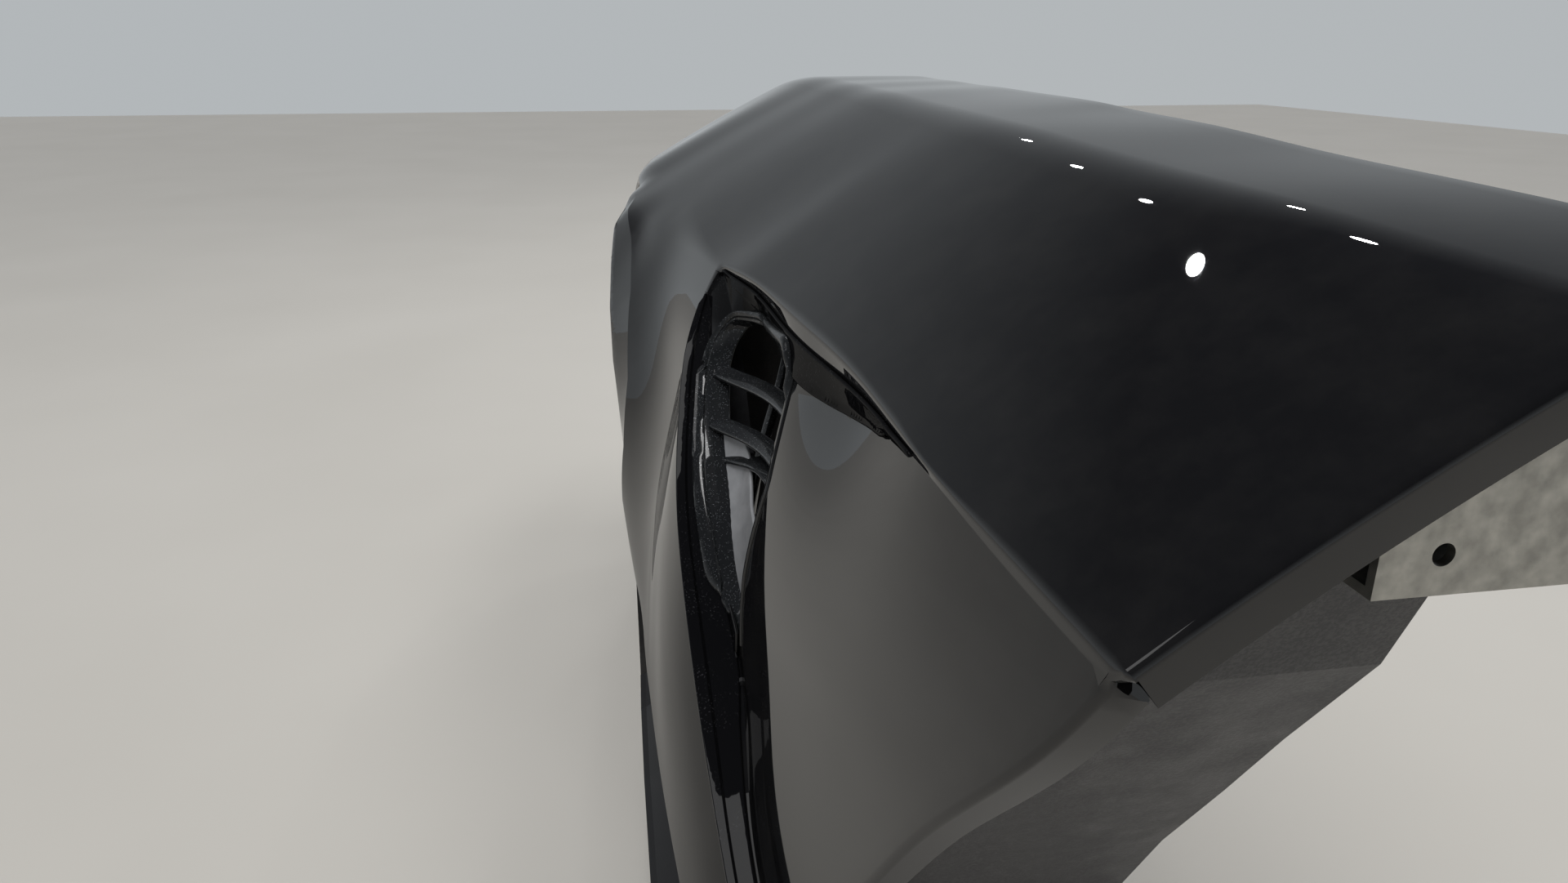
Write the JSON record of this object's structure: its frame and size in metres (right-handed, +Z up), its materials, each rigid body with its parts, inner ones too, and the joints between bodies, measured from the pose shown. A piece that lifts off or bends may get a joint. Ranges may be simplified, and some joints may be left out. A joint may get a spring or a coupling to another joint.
{
  "type": "sports car front fender",
  "caption": "Left front fender of a sports car: painted skin with a louvred side vent and duct, wheelhouse liner, inner brackets and the front of the sill blade.",
  "frame": {"origin": "middle of the bolt row in the hood gutter, on the underside of its flange", "axes": "+X forward along the car, +Y outboard to the car's left, +Z up"},
  "size_m": [1.634, 0.475, 0.6932],
  "materials": {
    "body_paint": "gloss clear coat over black",
    "gloss_trim": "gloss",
    "black_plastic": "grained",
    "liner_plastic": "matt",
    "composite": "bare moulded composite",
    "plated_steel": "zinc plated",
    "bare_aluminium": "mill",
    "blade_plastic": "satin",
    "seal_rubber": "matt"
  },
  "bodies": {
    "root": {"fender_panel": "body_paint", "vent_surround": "gloss_trim", "vent_grille": "gloss_trim", "grille_blank": "gloss_trim", "vent_duct": "black_plastic", "liner_front": "liner_plastic", "liner_rear": "liner_plastic", "crest_doubler": "composite", "closing_panel": "composite", "upper_pillar_bracket": "plated_steel", "lower_pillar_bracket": "plated_steel", "bumper_rail": "black_plastic", "lamp_shelf": "bare_aluminium", "mud_guard": "black_plastic", "sill_blade": "blade_plastic", "hood_seal": "seal_rubber", "hood_bumpers": "seal_rubber"}
  },
  "joints": []
}
